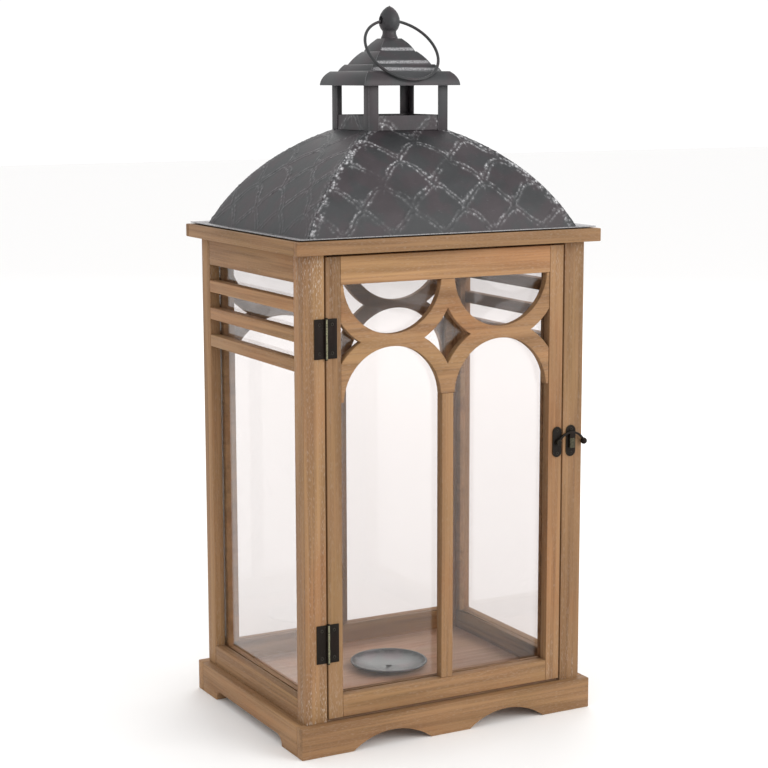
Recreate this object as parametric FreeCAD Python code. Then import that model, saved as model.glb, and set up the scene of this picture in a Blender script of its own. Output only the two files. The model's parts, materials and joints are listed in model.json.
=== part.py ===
import FreeCAD, Part
import math
import os
from FreeCAD import Vector

# Candle lantern: wooden case on a cut-out skirt, glazed door with fretwork, embossed metal roof
# hood, open cupola and a ring handle. Millimetres. X runs to the right along the front, the front
# faces -Y, +Z is up, and the origin is the middle of the footprint on the floor.

# Top board, with a lipping strip along its front and back edges
top_side_overhang = 11.7
top_front_overhang = 13.0
top_thickness = 13.1
lipping_depth = 7.0
vent_radius = 60.0

# Skirt and floor
skirt_side_step = 8.7
skirt_front_step = 8.0
skirt_height = 31.7
skirt_board = 12.0
scallop_chord = 88.0
scallop_rise = 15.0
scallop_spacing = 133.0
side_cutout_length = 161.0
side_cutout_rise = 10.3
floor_thickness = 12.0

# Case frame between the skirt and the top board
case_width = 316.6
case_depth = 239.4
case_height = 458.0
post_width = 22.6
post_depth = 20.0

# Side and back panels
side_board = 10.5
side_top_rail = 27.5
bottom_rail = 21.4
slat_height = 12.3
slat_gap = 16.1
slat_count = 3
back_board = 7.7
back_top_rail = 18.7
back_muntin_width = 12.0
glass_thickness = 2.3
glass_play = 0.3
bead_depth = 6.3
bead_width = 8.0

# Fretwork of the back panel: two arches, and two bowls centred on the top rail's lower edge.
# Lands are the wood left between two openings, and slivers what is left beside an outer one.
back_middle_land = 19.2
back_cross_land = 9.2
back_sliver = 7.3
back_band = 15.1

# Door, set in between the front posts
door_side_gap = 1.8
door_top_gap = 3.0
door_bottom_gap = 2.5
door_thickness = 18.0
stile_width = 15.8
door_top_rail = 27.1
door_bottom_rail = 21.9
rebate = 5.0
door_bead_width = 4.6
muntin_width = 13.2
muntin_thickness = 10.0
stop_length = 220.0
stop_height = 10.0

# Fretwork of the door: two arches, and two bowls centred a little above the top rail's lower edge
door_middle_land = 15.4
door_cross_land = 12.2
door_sliver = 3.2
door_band = 15.7
door_bowl_rise = 3.4
fretwork_thickness = 8.0
fretwork_recess = 0.8
fretwork_foot = 2.9

# Door hinges
hinge_height = 38.2
hinge_leaf = 12.0
hinge_thickness = 1.0
hinge_low_rise = 76.7
hinge_high_drop = 77.4
knuckle_radius = 1.7
knuckle_count = 5
pin_radius = 0.9
pin_head_radius = 1.5
pin_head_height = 0.8
hinge_screw_spacing = 27.5
hinge_screw_inset = 6.6

# Screws and tacks
shank_sides = 8
head_sides = 16
head_crown = 0.55
screw_radius = 1.0
screw_head_radius = 2.1
screw_head_height = 0.7
screw_length = 9.0
dish_screw_head_radius = 3.6
dish_screw_head_height = 1.4
tack_radius = 0.8
tack_head_radius = 1.9
tack_head_height = 0.7
tack_length = 8.0

# Door latch: a plate on the door with a swinging arm, and a catch plate with a tongue on the post
latch_rise = 253.8
plate_thickness = 1.2
latch_plate_width = 10.6
latch_plate_height = 31.4
latch_plate_inset = 0.4
catch_plate_width = 11.4
catch_plate_height = 32.5
catch_plate_inset = 9.1
plate_tack_inset = 4.0
rivet_radius = 1.6
rivet_head_radius = 2.6
rivet_head_height = 1.0
rivet_shoulder = 1.6
arm_thickness = 1.8
arm_band = 2.2
arm_eye_radius = 3.0
arm_reach = 30.8
arm_peak_reach = 15.2
arm_peak_rise = 9.2
arm_ball_drop = 1.0
arm_ball_radius = 3.4
ball_steps = 8
arm_lobe_width = 6.4
arm_lobe_depth = 4.6
tongue_width = 5.6
tongue_thickness = 1.6
tongue_drop = 10.2

# Roof hood: thin sheet bent over a mitred vault, with an upturned flange and an upright collar
sheet_thickness = 1.0
hood_side_margin = 19.0
hood_front_margin = 15.7
hood_height = 97.5
hood_bulge = 0.09
flange_side_reach = 15.0
flange_front_reach = 12.0
flange_lift = 1.3
collar_height = 15.3
tack_spacing = 104.0
tack_edge = 6.0

# Cupola on the collar: four angle posts and a stepped roof
cupola_width = 90.0
cupola_depth = 80.0
cupola_leg = 11.0
window_height = 44.7
eave_overhang = 8.0
eave_height = 14.0
eave_bulge = 0.12
rib_bulge = 0.045
# Each tier: flat ledge run, rib run, rib rise
cupola_tiers = ((6.0, 5.3, 6.8), (2.6, 11.2, 12.9), (1.2, 6.6, 9.4))
crown_run = 3.8
crown_rise = 3.5

# Finial and ring handle
finial_foot_radius = 8.5
finial_foot_height = 1.0
finial_neck_radius = 6.9
finial_neck_rise = 7.1
finial_bulb_radius = 10.8
finial_bulb_rise = 16.2
finial_height = 32.6
flare_bulge = 0.09
acorn_bulge = 0.15
finial_steps = 3
acorn_steps = 5
spigot_radius = 2.5
spigot_length = 4.0
ring_hole_radius = 2.6
ring_mouth_radius = 4.6
ring_mouth_depth = 5.0
ring_hole_rise = 18.2
ring_radius = 39.2
ring_wire_radius = 1.5
wire_sides = 12

# Candle dish
dish_radius = 41.0
dish_rise = 6.4
dish_flat_radius = 17.0
dish_thickness = 1.0
dish_lip_radius = 1.2
dish_bulge = 0.04
dish_steps = 3
lip_sides = 8
dish_place = (1.3, 7.0)

# Clearances
running_fit = 0.05
moving_gap = 0.3

# Levels and faces that several pieces share
top_width = case_width + 2 * top_side_overhang
top_depth = case_depth + 2 * top_front_overhang
skirt_width = case_width + 2 * skirt_side_step
skirt_depth = case_depth + 2 * skirt_front_step
hood_width = top_width - 2 * hood_side_margin
hood_depth = top_depth - 2 * hood_front_margin
skirt_top = skirt_height
case_top = skirt_top + case_height
top_face = case_top + top_thickness
side_face = case_width / 2
front_face = -case_depth / 2
back_face = case_depth / 2
post_inner_x = side_face - post_width
post_inner_y = back_face - post_depth
door_half = post_inner_x - door_side_gap
door_low = skirt_top + door_bottom_gap
door_high = case_top - door_top_gap
hinge_centres = (door_low + hinge_low_rise, door_high - hinge_high_drop)
door_back = front_face + door_thickness
light_half = door_half - stile_width
light_low = door_low + door_bottom_rail
light_high = door_high - door_top_rail
door_opening = (light_half - door_sliver - door_middle_land / 2) / 2
back_opening = (post_inner_x - back_sliver - back_middle_land / 2) / 2
door_arch_drop = 2 * door_opening + door_cross_land
back_arch_drop = 2 * back_opening + back_cross_land
fretwork_face = front_face + fretwork_recess
door_glass_face = fretwork_face + muntin_thickness
pin_x = -post_inner_x + door_side_gap / 2
pin_y = front_face - knuckle_radius - moving_gap
vault_top = top_face + hood_height
collar_top = vault_top + collar_height
eave_level = vault_top + window_height
shoulder_x = cupola_width / 2 + sheet_thickness + moving_gap
shoulder_y = cupola_depth / 2 + sheet_thickness + moving_gap
shoulder_level = eave_level + eave_height
plate_face = front_face - plate_thickness
arm_back = plate_face - rivet_shoulder
arm_front = arm_back - arm_thickness
pivot_x = door_half - latch_plate_inset - latch_plate_width / 2
catch_x = post_inner_x + catch_plate_inset
latch_height = skirt_top + latch_rise
hinge_screw = (screw_radius, screw_length, screw_head_radius, screw_head_height, hinge_thickness)
plate_tack = (tack_radius, tack_length, tack_head_radius, tack_head_height, plate_thickness)
far = 2 * (top_width + top_depth)


def save(name, *solids):
    shape = solids[0] if len(solids) == 1 else Part.makeCompound(solids)
    shape.exportStep("parts/" + name + ".step")


def box(x_low, x_high, y_low, y_high, z_low, z_high):
    corner = Vector(x_low, y_low, z_low)
    return Part.makeBox(x_high - x_low, y_high - y_low, z_high - z_low, corner)


def rod_x(radius, start, length, y, z):
    return Part.makeCylinder(radius, length, Vector(start, y, z), Vector(1, 0, 0))


def rod_y(radius, start, length, x, z):
    return Part.makeCylinder(radius, length, Vector(x, start, z), Vector(0, 1, 0))


def rod_z(radius, start, length, x, y):
    return Part.makeCylinder(radius, length, Vector(x, y, start))


def regular_outline(sides, radius, middle, up):
    """Closed outline with equal sides, square to a direction."""
    first = Vector(0, 0, 1).cross(up) if up.z == 0 else Vector(1, 0, 0)
    turn = FreeCAD.Rotation(up, 360 / sides)
    spoke = FreeCAD.Rotation(up, 180 / sides).multVec(first * radius)
    points = []
    for _ in range(sides):
        points.append(middle + spoke)
        spoke = turn.multVec(spoke)
    return Part.makePolygon(points + points[:1])


def shank(radius, low, length, up):
    """Thin shank, or the hole for one, with few sides."""
    return Part.Face(regular_outline(shank_sides, radius, low, up)).extrude(up * length)


def domed_head(radius, height, seat, up):
    """Head of a screw or tack: a rim that slopes up to a smaller crown."""
    rim = regular_outline(head_sides, radius, seat, up)
    crown = regular_outline(head_sides, radius * head_crown, seat + up * height, up)
    return Part.makeLoft([rim, crown], True, True)


def mirrored(shape):
    """The same piece on the other side of the lantern."""
    return shape.mirror(Vector(0, 0, 0), Vector(1, 0, 0))


def front_view(across, up):
    return Vector(across, 0, up)


def side_view(across, up):
    return Vector(0, across, up)


def bent_edge(view, start, end, bulge):
    """Edge of an outline: straight, or an arc that stands out by a share of its chord."""
    if not bulge:
        return Part.makeLine(view(*start), view(*end))
    run = end[0] - start[0]
    rise = end[1] - start[1]
    middle = view((start[0] + end[0]) / 2 + rise * bulge, (start[1] + end[1]) / 2 - run * bulge)
    return Part.Arc(view(*start), middle, view(*end)).toShape()


def chords(start, end, bulge, count):
    """Points after the start of the same arc, for a form that is made of a few straight steps."""
    points = bent_edge(front_view, start, end, bulge).discretize(count + 1)
    if points[0].distanceToPoint(front_view(*start)) > points[-1].distanceToPoint(front_view(*start)):
        points.reverse()
    return points[1:]


def turned(points):
    """Solid turned around Z from a closed outline, as two halves joined."""
    half = Part.Face(Part.makePolygon(points + points[:1])).revolve(Vector(0, 0, 0), Vector(0, 0, 1), 180)
    return half.fuse(half.mirror(Vector(0, 0, 0), Vector(0, 1, 0)))


def symmetric_prism(view, across, side):
    """Bar along one axis whose section is a right-hand side and its mirror image."""
    edges = []
    for start, end in zip(side, side[1:]):
        edges.append(bent_edge(view, start[:2], end[:2], end[2]))
    edges += [edge.mirror(Vector(0, 0, 0), view(1, 0)) for edge in edges]
    for width, level, _ in (side[0], side[-1]):
        edges.append(Part.makeLine(view(-width, level), view(width, level)))
    section = Part.Face(Part.Wire(Part.__sortEdges__(edges)))
    section.translate(across * (-far / 2))
    return section.extrude(across * far)


def mitred(levels):
    """Solid with mitred corners. A level is half width, half depth, height and the bulge below it."""
    front = [(half_x, level, bulge) for half_x, half_y, level, bulge in levels]
    side = [(half_y, level, bulge) for half_x, half_y, level, bulge in levels]
    return symmetric_prism(front_view, Vector(0, 1, 0), front).common(
        symmetric_prism(side_view, Vector(1, 0, 0), side)
    )


def inset(levels, amount):
    """The same levels drawn in by the sheet's thickness, for the inside of a hollow form."""
    return [(half_x - amount, half_y - amount, z - amount, bulge) for half_x, half_y, z, bulge in levels]


def arch_radius(chord, rise):
    return (chord * chord / 4 + rise * rise) / (2 * rise)


# Skirt and floor


def long_skirt(outer_y, inner_y):
    """Front or back board, cut on its lower edge by two shallow arches."""
    low_y = min(outer_y, inner_y)
    board = box(-skirt_width / 2, skirt_width / 2, low_y, low_y + skirt_board, 0, skirt_height)
    radius = arch_radius(scallop_chord, scallop_rise)
    for side in (-1, 1):
        centre_x = side * scallop_spacing / 2
        board = board.cut(rod_y(radius, low_y, skirt_board, centre_x, scallop_rise - radius))
    return board


def side_skirt():
    """Right-hand board between the long boards, with one flat cut-out rounded at both ends."""
    outer = skirt_width / 2
    half = skirt_depth / 2 - skirt_board
    board = box(outer - skirt_board, outer, -half, half, 0, skirt_height)
    flat = side_cutout_length / 2 - side_cutout_rise
    corner = 1 - math.sqrt(0.5)
    start = Part.Arc(
        side_view(-side_cutout_length / 2, 0),
        side_view(-side_cutout_length / 2 + side_cutout_rise * corner, side_cutout_rise * (1 - corner)),
        side_view(-flat, side_cutout_rise),
    ).toShape()
    end = start.mirror(Vector(0, 0, 0), Vector(0, 1, 0))
    middle = Part.makeLine(side_view(-flat, side_cutout_rise), side_view(flat, side_cutout_rise))
    foot = Part.makeLine(side_view(-side_cutout_length / 2, 0), side_view(side_cutout_length / 2, 0))
    cutout = Part.Face(Part.Wire(Part.__sortEdges__([start, middle, end, foot])))
    cutout.translate(Vector(outer - skirt_board, 0, 0))
    return board.cut(cutout.extrude(Vector(skirt_board, 0, 0)))


def floor_panel():
    half_x = skirt_width / 2 - skirt_board
    half_y = skirt_depth / 2 - skirt_board
    panel = box(-half_x, half_x, -half_y, half_y, skirt_top - floor_thickness, skirt_top)
    bore_low = Vector(*dish_place, skirt_top - screw_length)
    return panel.cut(shank(screw_radius + running_fit, bore_low, screw_length, Vector(0, 0, 1)))


def make_base():
    save("skirt_front", long_skirt(-skirt_depth / 2, -skirt_depth / 2 + skirt_board))
    save("skirt_back", long_skirt(skirt_depth / 2, skirt_depth / 2 - skirt_board))
    save("skirt_right", side_skirt())
    save("skirt_left", mirrored(side_skirt()))
    save("floor_panel", floor_panel())


# Case frame, sides and back


def bored(solid, places):
    """Holes from the front for the shanks of the screws and tacks at these places."""
    for x, z, (radius, length, _, _, _) in places:
        solid = solid.cut(shank(radius + running_fit, Vector(x, front_face, z), length, Vector(0, 1, 0)))
    return solid


def post(side, front):
    """Corner post; the front ones are bored for the hinge screws or the catch tacks."""
    low_x = -side_face if side < 0 else post_inner_x
    low_y = front_face if front else post_inner_y
    solid = box(low_x, low_x + post_width, low_y, low_y + post_depth, skirt_top, case_top)
    if front:
        solid = bored(solid, [place for place in case_screw_places() if place[0] * side > 0])
    return solid


def side_pieces():
    """Right-hand side: rails, slats, glass and beads, as (name, solids) pairs."""
    inner = side_face - side_board
    glass_inner = inner - glass_thickness
    bead_inner = glass_inner - bead_depth
    rail_low = case_top - side_top_rail
    half = post_inner_y
    pieces = [
        ("side_top_rail", [box(inner, side_face, -half, half, rail_low, case_top)]),
        ("side_bottom_rail", [box(inner, side_face, -half, half, skirt_top, skirt_top + bottom_rail)]),
        ("side_glass", [
            box(glass_inner, inner, glass_play - half, half - glass_play, skirt_top, case_top - glass_play)
        ]),
        ("side_beads", [
            box(bead_inner, glass_inner, -half, half, skirt_top, skirt_top + bottom_rail),
            box(bead_inner, glass_inner, -half, half, rail_low, case_top),
            box(bead_inner, glass_inner, -half, bead_width - half, skirt_top + bottom_rail, rail_low),
            box(bead_inner, glass_inner, half - bead_width, half, skirt_top + bottom_rail, rail_low),
        ]),
    ]
    for number in range(slat_count):
        high = rail_low - slat_gap - number * (slat_height + slat_gap)
        slat = box(inner, side_face, -half, half, high - slat_height, high)
        pieces.append(("side_slat_%d" % (number + 1), [slat]))
    return pieces


def fretwork(half, low, high, face, thickness, sliver, centres, opening, band):
    """Board pierced by two arches below and two bowls above, each edged by a band of one width."""
    board = box(-half, half, face, face + thickness, low, high)
    rims = []
    holes = []
    for x in (opening + sliver - half, half - opening - sliver):
        for z in centres:
            rims.append(rod_y(opening + band, face, thickness, x, z))
            holes.append(rod_y(opening, face, thickness, x, z))
    return board.common(rims[0].multiFuse(rims[1:])).cut(Part.makeCompound(holes))


def back_pieces():
    """Rails, fretwork, muntin, glass and beads between the back posts."""
    half = post_inner_x
    inner = back_face - back_board
    glass_inner = inner - glass_thickness
    bead_inner = glass_inner - bead_depth
    rail_low = case_top - back_top_rail
    rail_high = skirt_top + bottom_rail
    foot = rail_low - back_arch_drop
    return [
        ("back_top_rail", [box(-half, half, inner, back_face, rail_low, case_top)]),
        ("back_bottom_rail", [box(-half, half, inner, back_face, skirt_top, rail_high)]),
        ("back_fretwork", [
            fretwork(half, foot, rail_low, inner, back_board, back_sliver, (foot, rail_low),
                     back_opening, back_band)
        ]),
        ("back_muntin", [
            box(-back_muntin_width / 2, back_muntin_width / 2, inner, back_face, rail_high, foot)
        ]),
        ("back_glass", [
            box(glass_play - half, half - glass_play, glass_inner, inner, skirt_top, case_top - glass_play)
        ]),
        ("back_beads", [
            box(-half, half, bead_inner, glass_inner, skirt_top, rail_high),
            box(-half, half, bead_inner, glass_inner, rail_low, case_top),
            box(-half, bead_width - half, bead_inner, glass_inner, rail_high, rail_low),
            box(half - bead_width, half, bead_inner, glass_inner, rail_high, rail_low),
        ]),
    ]


def make_case():
    for row, front in (("front", True), ("back", False)):
        save("post_%s_left" % row, post(-1, front))
        save("post_%s_right" % row, post(1, front))
    for name, solids in side_pieces():
        save(name + "_right", *solids)
        save(name + "_left", *[mirrored(solid) for solid in solids])
    for name, solids in back_pieces():
        save(name, *solids)


# Door


def door_stile():
    """Latch-side stile, rebated at the back for the glass; the hinge-side one is its mirror image."""
    solid = box(light_half, door_half, front_face, door_back, door_low, door_high)
    groove = box(light_half, light_half + rebate, door_glass_face, door_back,
                 light_low - rebate, light_high + rebate)
    return solid.cut(groove)


def door_rail(low, high, groove_low, groove_high):
    solid = box(-light_half, light_half, front_face, door_back, low, high)
    return solid.cut(box(-light_half, light_half, door_glass_face, door_back, groove_low, groove_high))


def door_beads():
    """Four strips that hold the glass in the rebate, flush with the back of the door."""
    face = door_glass_face + glass_thickness
    out_x = light_half + rebate
    in_x = out_x - door_bead_width
    low = light_low - rebate
    high = light_high + rebate
    return [
        box(-out_x, out_x, face, door_back, low, low + door_bead_width),
        box(-out_x, out_x, face, door_back, high - door_bead_width, high),
        box(-out_x, -in_x, face, door_back, low + door_bead_width, high - door_bead_width),
        box(in_x, out_x, face, door_back, low + door_bead_width, high - door_bead_width),
    ]


def make_door():
    bowl_level = light_high + door_bowl_rise
    arch_level = bowl_level - door_arch_drop
    foot = arch_level + fretwork_foot
    board = fretwork(light_half, foot, light_high, fretwork_face, fretwork_thickness, door_sliver,
                     (arch_level, bowl_level), door_opening, door_band)
    glass_half = light_half + rebate - glass_play
    glass = box(-glass_half, glass_half, door_glass_face, door_glass_face + glass_thickness,
                light_low - rebate + glass_play, light_high + rebate - glass_play)
    muntin = box(-muntin_width / 2, muntin_width / 2, fretwork_face, door_glass_face, light_low, foot)
    hinge_side = [place for place in door_screw_places() if place[0] < 0]
    latch_side = [place for place in door_screw_places() if place[0] > 0]
    save("door_stile_hinge", bored(mirrored(door_stile()), hinge_side))
    save("door_stile_latch", bored(door_stile(), latch_side))
    save("door_rail_top", door_rail(light_high, door_high, light_high, light_high + rebate))
    save("door_rail_bottom", door_rail(door_low, light_low, light_low - rebate, light_low))
    save("door_fretwork", board)
    save("door_muntin", muntin)
    save("door_glass", glass)
    save("door_beads", *door_beads())
    stop_face = door_back + moving_gap
    save("door_stop", box(-stop_length / 2, stop_length / 2, stop_face, stop_face + stop_height,
                          case_top - stop_height, case_top))


# Hinges, latch and their screws


def screw_places(side, plate_x, plate_height):
    """Across, height and kind of each screw and tack of the door (side 1) or the front posts (-1)."""
    places = []
    for centre in hinge_centres:
        for end in (-1, 1):
            height = centre + end * hinge_screw_spacing / 2
            places.append((pin_x + side * hinge_screw_inset, height, hinge_screw))
    for end in (-1, 1):
        places.append((plate_x, latch_height + end * (plate_height / 2 - plate_tack_inset), plate_tack))
    return places


def case_screw_places():
    return screw_places(-1, catch_x, catch_plate_height)


def door_screw_places():
    return screw_places(1, pivot_x, latch_plate_height)


def driven(place):
    """A screw or tack through a leaf or plate: a head on the metal and a shank in the wood."""
    x, z, (radius, length, head_radius, head_height, thickness) = place
    seat = front_face - thickness
    head = domed_head(head_radius, head_height, Vector(x, seat, z), Vector(0, -1, 0))
    return head.fuse(shank(radius, Vector(x, seat, z), thickness + length - moving_gap, Vector(0, 1, 0)))


def knuckle_spans(centre, first):
    """Heights of every other knuckle of a hinge, from knuckle number first."""
    pitch = hinge_height / knuckle_count
    low = centre - hinge_height / 2
    return [(low + number * pitch, low + (number + 1) * pitch) for number in range(first, knuckle_count, 2)]


def hinge_leaf_solid(side, centre, first):
    """Leaf on the wood with its rolled knuckles; the gaps leave room for the other leaf's knuckles."""
    end_x = pin_x + side * hinge_leaf
    plate = box(min(pin_x, end_x), max(pin_x, end_x), front_face - hinge_thickness, front_face,
                centre - hinge_height / 2, centre + hinge_height / 2)
    for low, high in knuckle_spans(centre, 1 - first):
        room = knuckle_radius + moving_gap
        plate = plate.cut(rod_z(room, low - moving_gap / 2, high - low + moving_gap, pin_x, pin_y))
    own = []
    for low, high in knuckle_spans(centre, first):
        own.append(rod_z(knuckle_radius, low + moving_gap / 2, high - low - moving_gap, pin_x, pin_y))
    leaf = plate.multiFuse(own)
    leaf = leaf.cut(rod_z(pin_radius + running_fit, centre - hinge_height, 2 * hinge_height, pin_x, pin_y))
    for offset in (-hinge_screw_spacing / 2, hinge_screw_spacing / 2):
        hole = Vector(pin_x + side * hinge_screw_inset, front_face - hinge_thickness, centre + offset)
        leaf = leaf.cut(shank(screw_radius + running_fit, hole, hinge_thickness, Vector(0, 1, 0)))
    return leaf.removeSplitter()


def hinge_pin(centre):
    """Pin with a button head clear above the leaves and one clear below them."""
    low = centre - hinge_height / 2 - moving_gap
    length = hinge_height + 2 * moving_gap
    shaft = rod_z(pin_radius, low, length, pin_x, pin_y)
    lower = rod_z(pin_head_radius, low - pin_head_height, pin_head_height, pin_x, pin_y)
    upper = rod_z(pin_head_radius, low + length, pin_head_height, pin_x, pin_y)
    return shaft.multiFuse([lower, upper])


def stadium(x, width, height):
    """Round-ended plate on the front face."""
    half = height / 2 - width / 2
    ends = [rod_y(width / 2, plate_face, plate_thickness, x, latch_height + side * half) for side in (-1, 1)]
    middle = box(x - width / 2, x + width / 2, plate_face, front_face, latch_height - half,
                 latch_height + half)
    plate = middle.multiFuse(ends).removeSplitter()
    for side in (-1, 1):
        z = latch_height + side * (height / 2 - plate_tack_inset)
        hole = Vector(x, plate_face, z)
        plate = plate.cut(shank(tack_radius + running_fit, hole, plate_thickness, Vector(0, 1, 0)))
    return plate


def arm_lobe_low():
    """Underside of the arm's lobe, which lies on the tip of the catch tongue."""
    return latch_height + arm_peak_rise - arm_band / 2 - arm_lobe_depth


def catch_plate():
    """Plate with a tongue that springs out of its lower half and stands up in front of it."""
    plate = stadium(catch_x, catch_plate_width, catch_plate_height)
    low_x = catch_x - tongue_width / 2
    high_x = catch_x + tongue_width / 2
    tip = arm_lobe_low() - moving_gap
    back = (arm_back + arm_front + tongue_thickness) / 2
    foot = tip - tongue_drop
    roll = tongue_thickness / 2
    neck = box(low_x, high_x, back - tongue_thickness, plate_face, foot, foot + tongue_thickness)
    blade = box(low_x, high_x, back - tongue_thickness, back, foot, tip - roll)
    curl = rod_x(roll, low_x, tongue_width, back - roll, tip - roll)
    return plate.multiFuse([neck, blade, curl]).removeSplitter()


def latch_plate():
    plate = stadium(pivot_x, latch_plate_width, latch_plate_height)
    return plate.cut(rod_y(rivet_radius, plate_face, plate_thickness, pivot_x, latch_height))


def latch_rivet():
    """Rivet with a shoulder that holds the arm clear of the plate and a head in front of it."""
    shaft_start = arm_front - moving_gap
    shaft = rod_y(rivet_radius, shaft_start, front_face - shaft_start, pivot_x, latch_height)
    shoulder = rod_y(rivet_head_radius, arm_back + moving_gap, rivet_shoulder - moving_gap,
                     pivot_x, latch_height)
    head = rod_y(rivet_head_radius, shaft_start - rivet_head_height, rivet_head_height,
                 pivot_x, latch_height)
    return shaft.multiFuse([shoulder, head])


def latch_arm():
    """Arched arm that turns on the rivet, with a lobe over the tongue and a ball for the finger."""
    ball_z = latch_height - arm_ball_drop
    start = front_view(pivot_x, latch_height)
    peak = front_view(pivot_x + arm_peak_reach, latch_height + arm_peak_rise)
    end = front_view(pivot_x + arm_reach, ball_z)
    spine = Part.Arc(start, peak, end).toShape().Curve
    centre = spine.Center
    rim = rod_y(spine.Radius + arm_band / 2, arm_front, arm_thickness, centre.x, centre.z)
    arch = rim.cut(rod_y(spine.Radius - arm_band / 2, arm_front, arm_thickness, centre.x, centre.z))
    chord = Part.Face(Part.makePolygon([
        start,
        start + Vector(0, 0, 2 * arm_peak_rise),
        end + Vector(0, 0, 2 * arm_peak_rise + arm_ball_drop),
        end,
        start,
    ]))
    chord.translate(Vector(0, arm_front, 0))
    arch = arch.common(chord.extrude(Vector(0, arm_thickness, 0)))
    eye = rod_y(arm_eye_radius, arm_front, arm_thickness, pivot_x, latch_height)
    ball = turned(chords((0, -arm_ball_radius), (0, arm_ball_radius), 0.5, ball_steps))
    ball.translate(Vector(end.x, front_face - moving_gap - arm_ball_radius, ball_z))
    lobe = box(catch_x - arm_lobe_width / 2, catch_x + arm_lobe_width / 2, arm_front, arm_back,
               arm_lobe_low(), latch_height + arm_peak_rise)
    lobe = lobe.common(rod_y(spine.Radius, arm_front, arm_thickness, centre.x, centre.z))
    solid = arch.multiFuse([eye, ball, lobe])
    bore = rod_y(rivet_radius + running_fit, arm_front, arm_thickness, pivot_x, latch_height)
    return solid.cut(bore).removeSplitter()


def make_hardware():
    save("hinge_case_leaves", *[hinge_leaf_solid(-1, centre, 0) for centre in hinge_centres])
    save("hinge_door_leaves", *[hinge_leaf_solid(1, centre, 1) for centre in hinge_centres])
    save("hinge_pins", *[hinge_pin(centre) for centre in hinge_centres])
    save("catch_plate", catch_plate())
    save("latch_plate", latch_plate())
    save("latch_rivet", latch_rivet())
    save("latch_arm", latch_arm())
    save("case_screws", *[driven(place) for place in case_screw_places()])
    save("door_screws", *[driven(place) for place in door_screw_places()])


# Top board and roof hood


def tack_places():
    """Places of the tacks that hold the flange of the hood to the top board."""
    edge_x = hood_width / 2 + tack_edge
    edge_y = hood_depth / 2 + tack_edge
    places = []
    for step in (-1, 0, 1):
        places += [(step * tack_spacing, side * edge_y) for side in (-1, 1)]
    for step in (-1, 1):
        places += [(side * edge_x, step * tack_spacing / 2) for side in (-1, 1)]
    return places


def roof_tack(x, y):
    """Domed tack whose head rests on the sloping flange and whose shank goes into the top board."""
    reach = flange_side_reach if abs(x) > hood_width / 2 else flange_front_reach
    seat = top_face + sheet_thickness + flange_lift * (tack_edge + tack_head_radius) / reach
    bottom = top_face - tack_length + moving_gap
    head = domed_head(tack_head_radius, tack_head_height, Vector(x, y, seat), Vector(0, 0, 1))
    return head.fuse(shank(tack_radius, Vector(x, y, bottom), seat - bottom, Vector(0, 0, 1)))


def top_board():
    half_y = top_depth / 2 - lipping_depth
    board = box(-top_width / 2, top_width / 2, -half_y, half_y, case_top, top_face)
    board = board.cut(rod_z(vent_radius, case_top, top_thickness, 0, 0))
    for x, y in tack_places():
        bore_low = Vector(x, y, top_face - tack_length)
        board = board.cut(shank(tack_radius + running_fit, bore_low, tack_length, Vector(0, 0, 1)))
    return board


def lipping(side):
    outer = side * top_depth / 2
    inner = outer - side * lipping_depth
    return box(-top_width / 2, top_width / 2, min(outer, inner), max(outer, inner), case_top, top_face)


def vault_levels():
    return [
        (hood_width / 2, hood_depth / 2, top_face, 0),
        (cupola_width / 2, cupola_depth / 2, vault_top, hood_bulge),
        (cupola_width / 2 - sheet_thickness, cupola_depth / 2 - sheet_thickness, vault_top, 0),
        (cupola_width / 2 - sheet_thickness, cupola_depth / 2 - sheet_thickness, collar_top, 0),
    ]


def flange():
    """Sloping rim around the foot of the vault, raised at its outer edge."""
    outer_x = hood_width / 2 + flange_side_reach
    outer_y = hood_depth / 2 + flange_front_reach
    dished = mitred([
        (hood_width / 2, hood_depth / 2, top_face, 0),
        (outer_x, outer_y, top_face + flange_lift, 0),
        (outer_x, outer_y, top_face + flange_lift + sheet_thickness, 0),
    ])
    above = dished.copy()
    above.translate(Vector(0, 0, sheet_thickness))
    half_x = hood_width / 2 - sheet_thickness
    half_y = hood_depth / 2 - sheet_thickness
    rim = dished.cut(above).cut(box(-half_x, half_x, -half_y, half_y, top_face, top_face + sheet_thickness))
    for x, y in tack_places():
        height = flange_lift + 2 * sheet_thickness
        rim = rim.cut(shank(tack_radius + running_fit, Vector(x, y, top_face), height, Vector(0, 0, 1)))
    return rim


def roof_hood():
    inner = inset(vault_levels(), sheet_thickness)
    half_x, half_y, level, bulge = inner[-1]
    inner[-1] = (half_x, half_y, level + 2 * sheet_thickness, bulge)
    return mitred(vault_levels()).cut(mitred(inner)).fuse(flange()).removeSplitter()


def make_roof():
    save("top_board", top_board())
    save("top_lippings", lipping(-1), lipping(1))
    save("roof_hood", roof_hood())
    save("roof_tacks", *[roof_tack(x, y) for x, y in tack_places()])


# Cupola, finial and ring handle


def cupola_post():
    """Back right angle post: two thin legs that stand on the vault's top edge around the collar."""
    x = cupola_width / 2
    y = cupola_depth / 2
    ceiling = shoulder_level - sheet_thickness
    angle = box(x - cupola_leg, x, y - sheet_thickness, y, vault_top, ceiling)
    return angle.fuse(box(x - sheet_thickness, x, y - cupola_leg, y, vault_top, ceiling)).removeSplitter()


def tier_levels():
    """Stepped cupola roof from the eave up: apron, then a ledge and a rounded rib for each tier."""
    depth_share = shoulder_y / shoulder_x
    levels = [
        (shoulder_x + eave_overhang, shoulder_y + eave_overhang, eave_level, 0),
        (shoulder_x, shoulder_y, shoulder_level, eave_bulge),
    ]
    half = shoulder_x
    height = shoulder_level
    for ledge_run, rib_run, rib_rise in cupola_tiers:
        half -= ledge_run
        levels.append((half, half * depth_share, height, 0))
        half -= rib_run
        height += rib_rise
        levels.append((half, half * depth_share, height, rib_bulge))
    half -= crown_run
    height += crown_rise
    levels.append((half, half * depth_share, height, 0))
    return levels


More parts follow.
